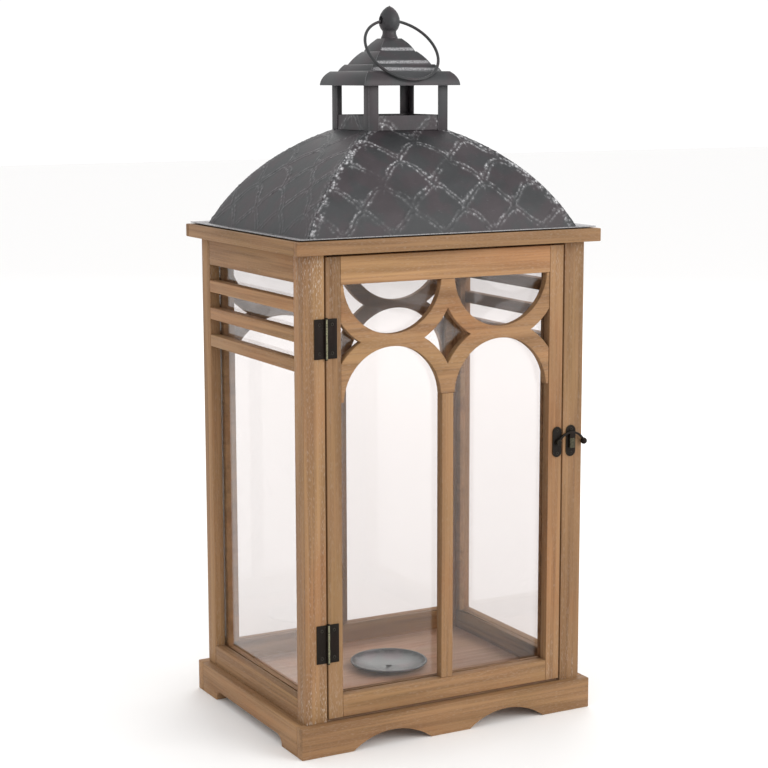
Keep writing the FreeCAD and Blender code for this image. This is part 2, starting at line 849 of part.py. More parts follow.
def crown_level():
    return tier_levels()[-1][2]


def cupola_roof():
    shell = mitred(tier_levels()).cut(mitred(inset(tier_levels(), sheet_thickness)))
    hole_low = crown_level() - 2 * sheet_thickness
    return shell.cut(rod_z(spigot_radius + running_fit, hole_low, 3 * sheet_thickness, 0, 0))


def finial():
    """Turned acorn on a flared foot, with a spigot through the roof. The hole that is bored across it
    for the ring opens out at both ends."""
    base = crown_level()
    foot_edge = (finial_foot_radius, base + finial_foot_height)
    neck = (finial_neck_radius, base + finial_neck_rise)
    bulb = (finial_bulb_radius, base + finial_bulb_rise)
    tip = (0, base + finial_height)
    outline = [
        front_view(0, base - spigot_length),
        front_view(spigot_radius, base - spigot_length),
        front_view(spigot_radius, base),
        front_view(finial_foot_radius, base),
        front_view(*foot_edge),
    ]
    outline += chords(foot_edge, neck, -flare_bulge, finial_steps)
    outline += chords(neck, bulb, flare_bulge, finial_steps)
    outline += chords(bulb, tip, acorn_bulge, acorn_steps)
    middle = Vector(0, 0, base + ring_hole_rise)
    holes = [rod_x(ring_hole_radius, -finial_bulb_radius, 2 * finial_bulb_radius, 0, middle.z)]
    for side in (-1, 1):
        outward = Vector(side, 0, 0)
        foot = middle + outward * (finial_bulb_radius - ring_mouth_depth)
        holes.append(Part.makeCone(ring_hole_radius, ring_mouth_radius, ring_mouth_depth, foot, outward))
    return turned(outline).cut(Part.makeCompound(holes))


def ring_pivot_level():
    """Height of the wire's middle where it hangs in the finial's hole, clear of the hole's wall."""
    hole = crown_level() + ring_hole_rise
    lean = ring_lean(hole)
    slope = math.asin((finial_bulb_radius - ring_mouth_depth) / ring_radius)
    sag = ring_radius * (1 - math.cos(slope))
    room = ring_hole_radius - ring_wire_radius / math.cos(slope) - moving_gap
    return hole + sag * math.cos(lean) - math.sqrt(room * room - (sag * math.sin(lean)) ** 2)


def ring_lean(pivot):
    """Angle from straight down at which the ring comes to lie on the front of the cupola roof."""
    lean = 0
    reach = 2 * ring_radius
    room = ring_wire_radius + moving_gap
    levels = tier_levels()
    for start, end in zip(levels, levels[1:]):
        edge = bent_edge(side_view, (start[1], start[2]), (end[1], end[2]), end[3])
        for point in edge.discretize(40):
            distance = math.hypot(point.y, pivot - point.z)
            if distance < reach + room:
                touch = math.atan2(point.y, pivot - point.z)
                near = min(distance, reach)
                far_side = (near * near + distance * distance - room * room) / (2 * near * distance)
                lean = max(lean, touch + math.acos(far_side))
    return lean


def ring_handle():
    pivot = ring_pivot_level()
    lean = ring_lean(pivot)
    section = regular_outline(wire_sides, ring_wire_radius, Vector(ring_radius, 0, 0), Vector(0, 1, 0))
    half = Part.Face(section).revolve(Vector(0, 0, 0), Vector(0, 0, 1), 180)
    ring = half.fuse(half.mirror(Vector(0, 0, 0), Vector(0, 1, 0)))
    ring.rotate(Vector(0, 0, 0), Vector(1, 0, 0), 90 - math.degrees(lean))
    ring.translate(Vector(0, -ring_radius * math.sin(lean), pivot - ring_radius * math.cos(lean)))
    return ring


def make_cupola():
    back_right = cupola_post()
    back_left = mirrored(back_right)
    save("cupola_post_back_right", back_right)
    save("cupola_post_back_left", back_left)
    save("cupola_post_front_right", back_right.mirror(Vector(0, 0, 0), Vector(0, 1, 0)))
    save("cupola_post_front_left", back_left.mirror(Vector(0, 0, 0), Vector(0, 1, 0)))
    save("cupola_roof", cupola_roof())
    save("finial", finial())
    save("ring_handle", ring_handle())


# Candle dish


def candle_dish():
    """Shallow spun dish with a flat middle and a rolled lip."""
    rim_radius = dish_radius - dish_lip_radius
    low_side = chords((dish_flat_radius, 0), (rim_radius, dish_rise), dish_bulge, dish_steps)
    high_side = [point + Vector(0, 0, dish_thickness) for point in low_side]
    outline = [front_view(0, 0), front_view(dish_flat_radius, 0)]
    outline += low_side
    outline += reversed(high_side)
    outline += [front_view(dish_flat_radius, dish_thickness), front_view(0, dish_thickness)]
    lip_middle = front_view(rim_radius, dish_rise + dish_thickness / 2)
    lip = Part.Face(regular_outline(lip_sides, dish_lip_radius, lip_middle, Vector(0, 1, 0)))
    lip = lip.revolve(Vector(0, 0, 0), Vector(0, 0, 1), 180)
    lip = lip.fuse(lip.mirror(Vector(0, 0, 0), Vector(0, 1, 0)))
    dish = turned(outline).fuse(lip)
    dish = dish.cut(shank(screw_radius + running_fit, Vector(0, 0, 0), dish_thickness, Vector(0, 0, 1)))
    dish.translate(Vector(*dish_place, skirt_top))
    return dish


def dish_screw():
    seat = Vector(*dish_place, skirt_top + dish_thickness)
    head = domed_head(dish_screw_head_radius, dish_screw_head_height, seat, Vector(0, 0, 1))
    length = dish_thickness + screw_length - moving_gap
    return head.fuse(shank(screw_radius, seat, length, Vector(0, 0, -1)))


def make_dish():
    save("candle_dish", candle_dish())
    save("dish_screw", dish_screw())


os.makedirs("parts", exist_ok=True)
make_base()
make_case()
make_door()
make_hardware()
make_roof()
make_cupola()
make_dish()
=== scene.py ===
import json
import math

import bmesh
import bpy
from mathutils import Matrix, Vector, noise

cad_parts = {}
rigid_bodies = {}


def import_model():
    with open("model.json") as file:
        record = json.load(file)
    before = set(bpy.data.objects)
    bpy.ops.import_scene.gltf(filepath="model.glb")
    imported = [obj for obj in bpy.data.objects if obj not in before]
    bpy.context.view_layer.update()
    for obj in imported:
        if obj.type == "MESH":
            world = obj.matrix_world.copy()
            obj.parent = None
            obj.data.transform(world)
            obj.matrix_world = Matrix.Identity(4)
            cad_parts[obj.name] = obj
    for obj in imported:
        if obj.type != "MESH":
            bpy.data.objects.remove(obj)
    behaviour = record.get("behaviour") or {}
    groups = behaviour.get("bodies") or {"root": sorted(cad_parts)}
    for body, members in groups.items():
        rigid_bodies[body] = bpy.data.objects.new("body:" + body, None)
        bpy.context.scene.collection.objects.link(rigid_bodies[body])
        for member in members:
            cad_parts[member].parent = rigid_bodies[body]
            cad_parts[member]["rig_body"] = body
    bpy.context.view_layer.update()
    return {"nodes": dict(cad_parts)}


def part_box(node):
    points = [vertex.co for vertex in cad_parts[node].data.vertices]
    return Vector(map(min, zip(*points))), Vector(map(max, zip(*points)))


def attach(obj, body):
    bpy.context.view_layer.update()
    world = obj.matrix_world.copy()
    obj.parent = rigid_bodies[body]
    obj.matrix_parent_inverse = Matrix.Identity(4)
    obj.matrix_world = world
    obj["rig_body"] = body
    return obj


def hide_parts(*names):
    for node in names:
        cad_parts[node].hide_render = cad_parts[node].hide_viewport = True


# Candle lantern: the looks of the wooden case, its glass and hardware, and the embossed metal roof.
# Metres. X runs to the right along the front, the front faces -Y, and +Z is up.

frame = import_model()

SCENE = bpy.context.scene

# Camera that took the photograph. Its focal length is in pixels of the photograph.
PHOTO_SIDE = 768
FOCAL_PIXELS = 1885.91
SENSOR = 0.036
CAMERA_PLACE = Vector((-0.92641, -1.69686, 0.65508))
CAMERA_YAW = math.radians(28.448)
CAMERA_PITCH = math.radians(9.300)
CAMERA_ROLL = math.radians(-0.137)
CAMERA_REACH = 60

# Soft studio light: place and power of each softbox
FRONT_SOFTBOX = (1.7, -2.6, 1.5)
FRONT_POWER = 46
BACK_SOFTBOX = (1.6, 2.4, 2.2)
BACK_POWER = 26
SOFTBOX_SIZE = 1.8
SOFTBOX_AIM = Vector((0, 0, 0.35))
BACKDROP_STRENGTH = 1.05
FLOOR_REACH = 12

# Rounding of the edges, and angles that tell an edge from a curve
EASE = 0.0009
POST_EASE = 0.0014
THIN_EASE = 0.0005
METAL_EASE = 0.00025
MERGE_DISTANCE = 1e-6
SEAM_ANGLE = math.radians(0.5)
CORNER_ANGLE = math.radians(50)
FLAT_ANGLE = math.radians(28)

# Wear and painted highlights, from 0 for whole paint to 1 for bare metal, and how far they reach
EDGE_WEAR = 0.4
RIM_WEAR = 0.5
EDGE_REACH = 0.0004
# Paler front of the catch's tongue: rubbing and a painted highlight
TONGUE_RUB_AND_HIGHLIGHT = 0.28
TONGUE_REACH = 0.0012
# Size and place of the painted highlight down the front of each hinge knuckle
KNUCKLE_RADIUS = 0.0017
KNUCKLE_FRONT = 0.85

# Sockets in the flat round heads that face the front, and the gap around the panes
FACING_FRONT = 0.99
ROUND_SIDES = 8
SOCKET_EDGE = 0.00035
SOCKET_DEPTH = 0.0004
PANE_CLEARANCE = 0.0001

# Painted highlights: pale bands at the foot of each tier of the cupola's roof, in place of the shine on its
# upturned ledges. HIP_SHARE is the roof's width over its depth.
# BAND_REACH is how far the bands run from the middle of the front to the hips.
LEDGE_LEVELS = (0.6590, 0.6658, 0.6787)
BAND_HEIGHT = 0.0044
BAND_EDGE = 0.0017
BAND_HIGHLIGHT = 0.45
BAND_REACH = 0.94
HIP_SHARE = 1.121

# Where the pale residue on the posts fades out
POST_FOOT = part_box("post_front_left")[0].z
POST_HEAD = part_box("post_front_left")[1].z
END_REACH = 0.075

# Embossing of the roof: rows of round-topped scales, each row half a scale off the one below
SCALE_WIDTH = 0.0565
SCALE_ROW = 0.0280
SCALE_SHIFT = -0.0020
FIRST_ROW = 0.0235
ROUNDNESS = 0.6
STEEPEST = 0.98
RIDGE_SPREAD = 0.0021
RIDGE_WIDTH = 0.0011
RIDGE_HEIGHT = 0.0007
FAINTEST_RIDGE = 0.03
WAVER = 0.0032
JITTER = 0.0005
HIP_BAND = 0.0095
FADE_CLIMB = 0.075

# How often the beads, wavers, dents and worn patches of the embossing follow one another, per metre
BEAD_CELLS = 360
WAVER_RATE = 55
JITTER_RATE = 310
DENT_RATE = 170
DIP_RATE = 60
PATCH_RATE = 42
BREAK_RATE = 190

# Sheets that carry the embossing, and the vault they follow
STEP_ACROSS = 0.00115
STEP_UP = 0.00095
SKIN_THICKNESS = 0.0004
SKIN_LIFT = 0.00005
VAULT_BULGE = 0.09
FLANGE_SIDE = 0.015
FLANGE_FRONT = 0.012
SHEET = 0.001
HALVINGS = 24

# Relief of the grain and of the metal's surface
RELIEF_STRENGTH = 0.6
GRAIN_RELIEF = 0.0005
METAL_RELIEF = 0.0002

# Steps through the grain from one board to the next, and from one part of a board to its other part
BOARD_STEP = 0.37
PART_STEP = 0.61

# How much lighter or darker than the others each board came out of its bath of stain
TONES = {
    "skirt_front": 0.97,
    "post_front_right": 0.80,
    "post_front_left": 1.02,
    "post_back_left": 0.97,
    "door_stile_hinge": 0.80,
    "door_stile_latch": 0.97,
    "door_rail_top": 1.25,
    "door_muntin": 0.90,
    "top_lippings": 0.85,
    "top_board": 0.90,
    "side_top_rail_left": 0.92,
    "side_bottom_rail_left": 0.92,
    "side_bottom_rail_right": 1.25,
    "side_slat_1_left": 1.15,
    "side_slat_2_left": 1.05,
    "floor_panel": 1.05,
    "back_bottom_rail": 1.15,
}


# Nodes and groups


def new_group(name, inputs, outputs):
    """Empty shader node group. Inputs are given as (name, type, default) and outputs as (name, type)."""
    group = bpy.data.node_groups.new(name, "ShaderNodeTree")
    for label, kind, default in inputs:
        socket = group.interface.new_socket(label, in_out="INPUT", socket_type="NodeSocket" + kind)
        if default is not None:
            socket.default_value = default
    for label, kind in outputs:
        group.interface.new_socket(label, in_out="OUTPUT", socket_type="NodeSocket" + kind)
    return group, group.nodes.new("NodeGroupInput"), group.nodes.new("NodeGroupOutput")


def node(tree, kind, **settings):
    """New node in a tree, with its properties set."""
    made = tree.nodes.new("ShaderNode" + kind)
    for name, value in settings.items():
        setattr(made, name, value)
    return made


def feed(tree, source, target):
    """A link when the source is a socket, and a set value when it is a number or a colour."""
    if isinstance(source, bpy.types.NodeSocket):
        tree.links.new(source, target)
    else:
        target.default_value = source


def sums(tree, operation, first, second=0.0, third=None, clamp=False):
    """Result of one sum on sockets or numbers."""
    made = node(tree, "Math", operation=operation, use_clamp=clamp)
    feed(tree, first, made.inputs[0])
    feed(tree, second, made.inputs[1])
    if third is not None:
        feed(tree, third, made.inputs[2])
    return made.outputs[0]


def blended(tree, share, first, second, way="MIX"):
    """Two colours mixed."""
    made = node(tree, "Mix", data_type="RGBA", blend_type=way)
    feed(tree, share, made.inputs[0])
    feed(tree, first, made.inputs[6])
    feed(tree, second, made.inputs[7])
    return made.outputs[2]


def ranged(tree, value, low, high, to_low=0.0, to_high=1.0):
    """Value carried smoothly from one range to another."""
    made = node(tree, "MapRange", interpolation_type="SMOOTHSTEP")
    feed(tree, value, made.inputs[0])
    for place, number in enumerate((low, high, to_low, to_high)):
        feed(tree, number, made.inputs[place + 1])
    return made.outputs[0]


def noisy(tree, vector, scale, detail=3.0, roughness=0.55, distortion=0.0):
    """Cloudy noise from 0 to 1."""
    made = node(tree, "TexNoise")
    feed(tree, vector, made.inputs["Vector"])
    made.inputs["Scale"].default_value = scale
    made.inputs["Detail"].default_value = detail
    made.inputs["Roughness"].default_value = roughness
    made.inputs["Distortion"].default_value = distortion
    return made.outputs["Fac"]


def stretched(tree, vector, scale):
    """Coordinates scaled along each axis, for a pattern that runs one way."""
    made = node(tree, "Mapping")
    feed(tree, vector, made.inputs["Vector"])
    made.inputs["Scale"].default_value = scale
    return made.outputs["Vector"]


def attribute(tree, name):
    """Value that the mesh holds at each of its points."""
    return node(tree, "Attribute", attribute_name=name).outputs["Fac"]


def brushed_grain_group():
    """Planed and wire-brushed pine. The grain runs along Z of the vector that comes in."""
    group, given, out = new_group(
        "brushed_grain",
        [
            ("Vector", "Vector", None),
            ("Board", "Float", 0.5),
            ("Tone", "Float", 1.0),
            ("Pale", "Color", (0.5, 0.35, 0.2, 1)),
            ("Deep", "Color", (0.25, 0.14, 0.07, 1)),
            ("Residue", "Float", 0.2),
        ],
        [("Color", "Color"), ("Roughness", "Float"), ("Height", "Float")],
    )
    board = given.outputs["Board"]
    offset = node(group, "CombineXYZ")
    for socket, factor in zip(offset.inputs, (7.3, 3.1, 5.7)):
        feed(group, sums(group, "MULTIPLY", board, factor), socket)
    moved = node(group, "VectorMath", operation="ADD")
    feed(group, given.outputs["Vector"], moved.inputs[0])
    feed(group, offset.outputs[0], moved.inputs[1])
    place = moved.outputs[0]
    figure = noisy(group, stretched(group, place, (70, 70, 3.0)), 1.0, 3.0, 0.5, 0.6)
    streaks = noisy(group, stretched(group, place, (380, 380, 7)), 1.0, 4.0, 0.6)
    pores = noisy(group, stretched(group, place, (1500, 1500, 50)), 1.0, 2.0, 0.5)
    patches = noisy(group, stretched(group, place, (22, 22, 7)), 1.0, 3.0, 0.6)
    depth = sums(group, "MULTIPLY_ADD", figure, 0.50, sums(group, "MULTIPLY", streaks, 0.42))
    depth = sums(group, "MULTIPLY_ADD", pores, 0.08, depth)
    colour = blended(group, ranged(group, depth, 0.36, 0.66), given.outputs["Pale"], given.outputs["Deep"])
    red = ranged(group, patches, 0.48, 0.70, 0.0, 0.6)
    colour = blended(group, red, colour, (1.0, 0.84, 0.74, 1), "MULTIPLY")
    olive = ranged(group, patches, 0.50, 0.32, 0.0, 0.6)
    colour = blended(group, olive, colour, (0.93, 0.96, 0.86, 1), "MULTIPLY")
    toned = node(group, "VectorMath", operation="SCALE")
    feed(group, colour, toned.inputs[0])
    feed(group, given.outputs["Tone"], toned.inputs["Scale"])
    flecks = noisy(group, stretched(group, place, (1300, 1300, 260)), 1.0, 2.0, 0.5)
    chalk = sums(group, "MULTIPLY", ranged(group, flecks, 0.50, 0.68), ranged(group, streaks, 0.36, 0.60))
    chalk = sums(group, "MULTIPLY", chalk, given.outputs["Residue"], clamp=True)
    colour = blended(group, chalk, toned.outputs[0], (0.58, 0.52, 0.45, 1))
    feed(group, colour, out.inputs["Color"])
    feed(group, sums(group, "MULTIPLY_ADD", streaks, 0.25, 0.50), out.inputs["Roughness"])
    height = sums(group, "MULTIPLY_ADD", pores, 0.4, sums(group, "MULTIPLY", streaks, 0.8))
    feed(group, height, out.inputs["Height"])
    return group


def metal_wear_and_highlight_group():
    """Painted metal: cloudy tone, fine scratches, and bare or rubbed metal where it is touched most. The
    same share and colour also give painted highlights.
    """
    group, given, out = new_group(
        "metal_wear_and_highlight",
        [
            ("Vector", "Vector", None),
            ("Paint", "Color", (0.1, 0.1, 0.1, 1)),
            ("Rubbed_and_highlight_colour", "Color", (0.5, 0.5, 0.5, 1)),
            ("Rubbing_and_highlight", "Float", 0.0),
            ("Cloud", "Float", 0.3),
            ("Roughness", "Float", 0.4),
        ],
        [("Color", "Color"), ("Roughness", "Float"), ("Height", "Float")],
    )
    place = given.outputs["Vector"]
    clouds = noisy(group, place, 28.0, 4.0, 0.6, 0.4)
    specks = noisy(group, place, 900.0, 3.0, 0.6)
    scratches = noisy(group, stretched(group, place, (160, 900, 2200)), 1.0, 3.0, 0.6)
    shade = sums(group, "MULTIPLY_ADD", sums(group, "SUBTRACT", clouds, 0.5), given.outputs["Cloud"], 1.0)
    painted = node(group, "VectorMath", operation="SCALE")
    feed(group, given.outputs["Paint"], painted.inputs[0])
    feed(group, shade, painted.inputs["Scale"])
    tints = ranged(group, noisy(group, place, 40.0, 2.0, 0.5), 0.42, 0.60)
    tint = blended(group, tints, (0.90, 1.02, 1.0, 1), (1.10, 0.97, 1.0, 1))
    coloured = blended(group, 1.0, painted.outputs[0], tint, "MULTIPLY")
    speckled = ranged(group, specks, 0.32, 0.62, 0.25, 1.0)
    # Share of rubbed colour: wear, and painted highlights where the mesh sets them
    rub = sums(group, "MULTIPLY", given.outputs["Rubbing_and_highlight"], speckled, clamp=True)
    marks = ranged(group, scratches, 0.66, 0.78, 0.0, 0.16)
    rub = sums(group, "MAXIMUM", rub, marks)
    feed(group, blended(group, rub, coloured, given.outputs["Rubbed_and_highlight_colour"]), out.inputs["Color"])
    dull = sums(group, "MULTIPLY_ADD", clouds, 0.22, given.outputs["Roughness"])
    feed(group, dull, out.inputs["Roughness"])
    feed(group, sums(group, "MULTIPLY_ADD", specks, 0.5, clouds), out.inputs["Height"])
    return group


GRAIN = brushed_grain_group()
METAL = metal_wear_and_highlight_group()


# Materials


def new_material(name):
    """Material with its node tree and its shader."""
    material = bpy.data.materials.new(name)
    material.use_nodes = True
    tree = material.node_tree
    return material, tree, tree.nodes["Principled BSDF"]


def bumped(tree, shader, height, distance):
    """Fine relief of the surface, in metres."""
    bump = node(tree, "Bump")
    bump.inputs["Strength"].default_value = RELIEF_STRENGTH
    bump.inputs["Distance"].default_value = distance
    feed(tree, height, bump.inputs["Height"])
    feed(tree, bump.outputs["Normal"], shader.inputs["Normal"])


def wood(name, turn, pale, deep, residue, end_residue=0.0):
    """Pine with its grain turned from Z to the board's own length. White residue may gather at its ends."""
    material, tree, shader = new_material(name)
    place = node(tree, "Mapping")
    coordinates = node(tree, "TexCoord").outputs["Object"]
    feed(tree, coordinates, place.inputs["Vector"])
    place.inputs["Rotation"].default_value = turn
    grain = node(tree, "Group", node_tree=GRAIN)
    feed(tree, place.outputs["Vector"], grain.inputs["Vector"])
    feed(tree, attribute(tree, "board"), grain.inputs["Board"])
    feed(tree, attribute(tree, "tone"), grain.inputs["Tone"])
    grain.inputs["Pale"].default_value = pale
    grain.inputs["Deep"].default_value = deep
    if end_residue:
        split = node(tree, "SeparateXYZ")
        feed(tree, coordinates, split.inputs[0])
        foot = ranged(tree, split.outputs["Z"], POST_FOOT + END_REACH, POST_FOOT, residue, end_residue)
        head = ranged(tree, split.outputs["Z"], POST_HEAD - END_REACH, POST_HEAD, residue, end_residue)
        feed(tree, sums(tree, "MAXIMUM", foot, head), grain.inputs["Residue"])
    else:
        grain.inputs["Residue"].default_value = residue
    feed(tree, grain.outputs["Color"], shader.inputs["Base Color"])
    feed(tree, grain.outputs["Roughness"], shader.inputs["Roughness"])
    shader.inputs["Specular IOR Level"].default_value = 0.22
    bumped(tree, shader, grain.outputs["Height"], GRAIN_RELIEF)
    return material


def metal(name, paint, rubbed, cloud, roughness, metallic, shine=0.5):
    """Painted metal that is rubbed where the mesh says so. The mesh's share also carries painted
    highlights, in the rubbed colour.
    """
    material, tree, shader = new_material(name)
    coat = node(tree, "Group", node_tree=METAL)
    feed(tree, node(tree, "TexCoord").outputs["Object"], coat.inputs["Vector"])
    coat.inputs["Paint"].default_value = paint
    coat.inputs["Rubbed_and_highlight_colour"].default_value = rubbed
    coat.inputs["Cloud"].default_value = cloud
    coat.inputs["Roughness"].default_value = roughness
    feed(tree, attribute(tree, "wear_and_highlight"), coat.inputs["Rubbing_and_highlight"])
    feed(tree, coat.outputs["Color"], shader.inputs["Base Color"])
    feed(tree, coat.outputs["Roughness"], shader.inputs["Roughness"])
    shader.inputs["Metallic"].default_value = metallic
    shader.inputs["Specular IOR Level"].default_value = shine
    bumped(tree, shader, coat.outputs["Height"], METAL_RELIEF)
    return material


def clear_glass():
    """Float glass with a faint dusty film. It takes little of the light that goes through it."""
    material, tree, shader = new_material("float_glass")
    shade = node(tree, "LightPath").outputs["Is Shadow Ray"]
    feed(tree, sums(tree, "MULTIPLY_ADD", shade, -0.85, 1.0), shader.inputs["Alpha"])
    film = noisy(tree, node(tree, "TexCoord").outputs["Object"], 9.0, 3.0, 0.6)
    feed(tree, ranged(tree, film, 0.35, 0.75, 0.0, 0.035), shader.inputs["Roughness"])
    shader.inputs["Base Color"].default_value = (0.860, 0.838, 0.834, 1)
    shader.inputs["Transmission Weight"].default_value = 1.0
    shader.inputs["IOR"].default_value = 1.45
    return material


PALE_PINE = (0.345, 0.196, 0.094, 1)
DEEP_PINE = (0.200, 0.106, 0.049, 1)
PALE_DECK = (0.56, 0.35, 0.235, 1)
DEEP_DECK = (0.42, 0.25, 0.165, 1)
QUARTER = math.pi / 2
ALONG_X = (0, QUARTER, 0)
ALONG_Y = (QUARTER, 0, 0)
ALONG_Z = (0, 0, 0)
PINE_X = wood("brushed_pine_across", ALONG_X, PALE_PINE, DEEP_PINE, residue=0.12)
PINE_Y = wood("brushed_pine_deep", ALONG_Y, PALE_PINE, DEEP_PINE, residue=0.12)
PINE_Z = wood("brushed_pine_upright", ALONG_Z, PALE_PINE, DEEP_PINE, residue=0.10, end_residue=0.25)
PALE_FLOOR = wood("pale_floor_pine", ALONG_X, PALE_DECK, DEEP_DECK, residue=0.1)
CHALKED_PINE = wood("whitewashed_pine", ALONG_Z, PALE_PINE, DEEP_PINE, residue=0.20, end_residue=0.65)
GUNMETAL = metal(
    "rubbed_gunmetal",
    paint=(0.036, 0.033, 0.036, 1),
    rubbed=(0.68, 0.68, 0.70, 1),
    cloud=1.2,
    roughness=0.38,
    metallic=0.15,
    shine=0.4,
)
WIRE = metal(
    "dark_wire",
    paint=(0.030, 0.028, 0.030, 1),
    rubbed=(0.30, 0.30, 0.30, 1),
    cloud=0.3,
    roughness=0.34,
    metallic=0.25,
)
BRONZE = metal(
    "dark_bronze",
    paint=(0.009, 0.005, 0.003, 1),
    rubbed=(0.25, 0.24, 0.15, 1),
    cloud=0.8,
    roughness=0.45,
    metallic=0.05,
    shine=0.15,
)
BRASS = metal(
    "worn_brass",
    paint=(0.009, 0.005, 0.003, 1),
    rubbed=(0.05, 0.045, 0.035, 1),
    cloud=0.5,
    roughness=0.45,
    metallic=0.2,
    shine=0.2,
)
STEEL = metal(
    "dull_steel",
    paint=(0.09, 0.085, 0.085, 1),
    rubbed=(0.40, 0.40, 0.40, 1),
    cloud=0.3,
    roughness=0.38,
    metallic=0.6,
)
DISH_GREY = metal(
    "dish_grey",
    paint=(0.105, 0.105, 0.107, 1),
    rubbed=(0.40, 0.41, 0.41, 1),
    cloud=0.12,
    roughness=0.26,
    metallic=0.75,
)
GLASS = clear_glass()


# Pieces made from the CAD nodes


def body_of(name):
    """Body that a node of the frame moves with."""
    return frame["nodes"][name]["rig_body"]


def finished(form, name, material, body, slot, replaced=None):
    """Form made into an object on its body. It stands in for the replaced node, where there is one."""
    mesh = bpy.data.meshes.new(name)
    form.to_mesh(mesh)
    form.free()
    mesh.materials.append(material)
    mesh.shade_smooth()
    mesh.set_sharp_from_angle(angle=FLAT_ANGLE)
    piece = bpy.data.objects.new(name, mesh)
    SCENE.collection.objects.link(piece)
    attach(piece, body)
    if replaced:
        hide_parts(replaced)
    return piece


def merged_copy(name):
    """The node's form as one closed shell for each solid, without the seams between its triangles."""
    form = bmesh.new()
    form.from_mesh(frame["nodes"][name].data)
    bmesh.ops.remove_doubles(form, verts=form.verts, dist=MERGE_DISTANCE)
    bmesh.ops.dissolve_limit(form, angle_limit=SEAM_ANGLE, verts=form.verts, edges=form.edges)
    return form


def shells(form):
    """Faces of each separate solid in a form, always in the same order."""
    left = set(form.faces)
    for first in form.faces:
        if first not in left:
            continue
        left.remove(first)
        reached = [first]
        for face in reached:
            for edge in face.edges:
                for other in edge.link_faces:
                    if other in left:
                        left.remove(other)
                        reached.append(other)
        yield reached


def sharp_edges(form, angle):
    """Outer edges where two faces meet at more than the angle."""
    return [
        edge
        for edge in form.edges
        if len(edge.link_faces) == 2 and edge.calc_face_angle(0) > angle and edge.is_convex
    ]


def eased(name, material, slot, ease, number, extra_wear_and_highlights=None):
    """The node with its sharp edges rounded and rubbed. Other wear, and painted highlights, are set by the
    function given last.
    """
    form = merged_copy(name)
    wear_and_highlight = form.verts.layers.float.new("wear_and_highlight")
    board = form.verts.layers.float.new("board")
    tone = form.verts.layers.float.new("tone")
    for count, faces in enumerate(shells(form)):
        for face in faces:
            for vert in face.verts:
                vert[board] = (number * BOARD_STEP + count * PART_STEP) % 1
                vert[tone] = TONES.get(name, 1.0)
    beveled = bmesh.ops.bevel(
        form,
        geom=sharp_edges(form, CORNER_ANGLE),
        offset=ease,
        offset_type="OFFSET",
        affect="EDGES",
        segments=2,
        profile=0.5,
        material=-1,
        clamp_overlap=True,
    )
    rubbed = set(beveled["faces"])
    for vert in form.verts:
        if rubbed.issuperset(vert.link_faces):
            vert[wear_and_highlight] = EDGE_WEAR
    if extra_wear_and_highlights:
        extra_wear_and_highlights(form, wear_and_highlight)
    finished(form, name + "_finish", material, body_of(name), slot, name)


def dress_wood():
    """Boards by the way their grain runs. Each gets a number, which picks its place in the grain."""
    sides = ("left", "right")
    across = ["skirt_front", "skirt_back", "top_lippings", "back_top_rail"]
    across += ["back_bottom_rail", "back_fretwork", "back_beads", "door_rail_top", "door_rail_bottom"]
    across += ["door_fretwork", "door_beads", "door_stop"]
    deep = ["top_board"] + ["skirt_" + side for side in sides]
    upright = ["post_back_left", "post_back_right", "post_front_right", "back_muntin"]
    upright += ["door_stile_hinge", "door_stile_latch", "door_muntin"]
    for side in sides:
        deep += [stem + side for stem in ("side_top_rail_", "side_bottom_rail_", "side_beads_")]
        deep += ["side_slat_%d_%s" % (number, side) for number in (1, 2, 3)]
    number = 0
    for names, material in ((across, PINE_X), (deep, PINE_Y), (upright, PINE_Z)):
        for name in names:
            number += 1
            ease = POST_EASE if name.startswith("post") else THIN_EASE if "beads" in name else EASE
            eased(name, material, "pine", ease, number)
    eased("post_front_left", CHALKED_PINE, "whitewashed_pine", POST_EASE, number + 1)
    eased("floor_panel", PALE_FLOOR, "pine", EASE, number + 2)


def rub_hood_rim(form, wear_and_highlight):
    """Cut edge of the flange around the hood."""
    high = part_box("roof_hood")[1]
    for vert in form.verts:
        if abs(vert.co.x) > high.x - EDGE_REACH or abs(vert.co.y) > high.y - EDGE_REACH:
            vert[wear_and_highlight] = RIM_WEAR


def paint_knuckle_highlight(form, wear_and_highlight):
    """Painted highlight down the front of the rolled knuckles around the hinge pins, given as bare metal.
    """
    low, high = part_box("hinge_pins")
    for vert in form.verts:
        out = Vector((vert.co.x - (low.x + high.x) / 2, vert.co.y - (low.y + high.y) / 2))
        if out.length < KNUCKLE_RADIUS + EDGE_REACH and out.y < -KNUCKLE_FRONT * out.length:
            vert[wear_and_highlight] = 1.0


def rub_and_highlight_tongue(form, wear_and_highlight):
    """Front of the catch's tongue, which stands furthest forward, made paler: partly rubbing, partly a
    painted highlight on its curl.
    """
    front = min(vert.co.y for vert in form.verts)
    for vert in form.verts:
        if vert.co.y < front + TONGUE_REACH:
            vert[wear_and_highlight] = TONGUE_RUB_AND_HIGHLIGHT


def cut(form, place, normal):
    """New edges where a plane crosses the form. Nothing is taken away."""
    everything = form.verts[:] + form.edges[:] + form.faces[:]
    bmesh.ops.bisect_plane(form, geom=everything, dist=MERGE_DISTANCE, plane_co=place, plane_no=normal)


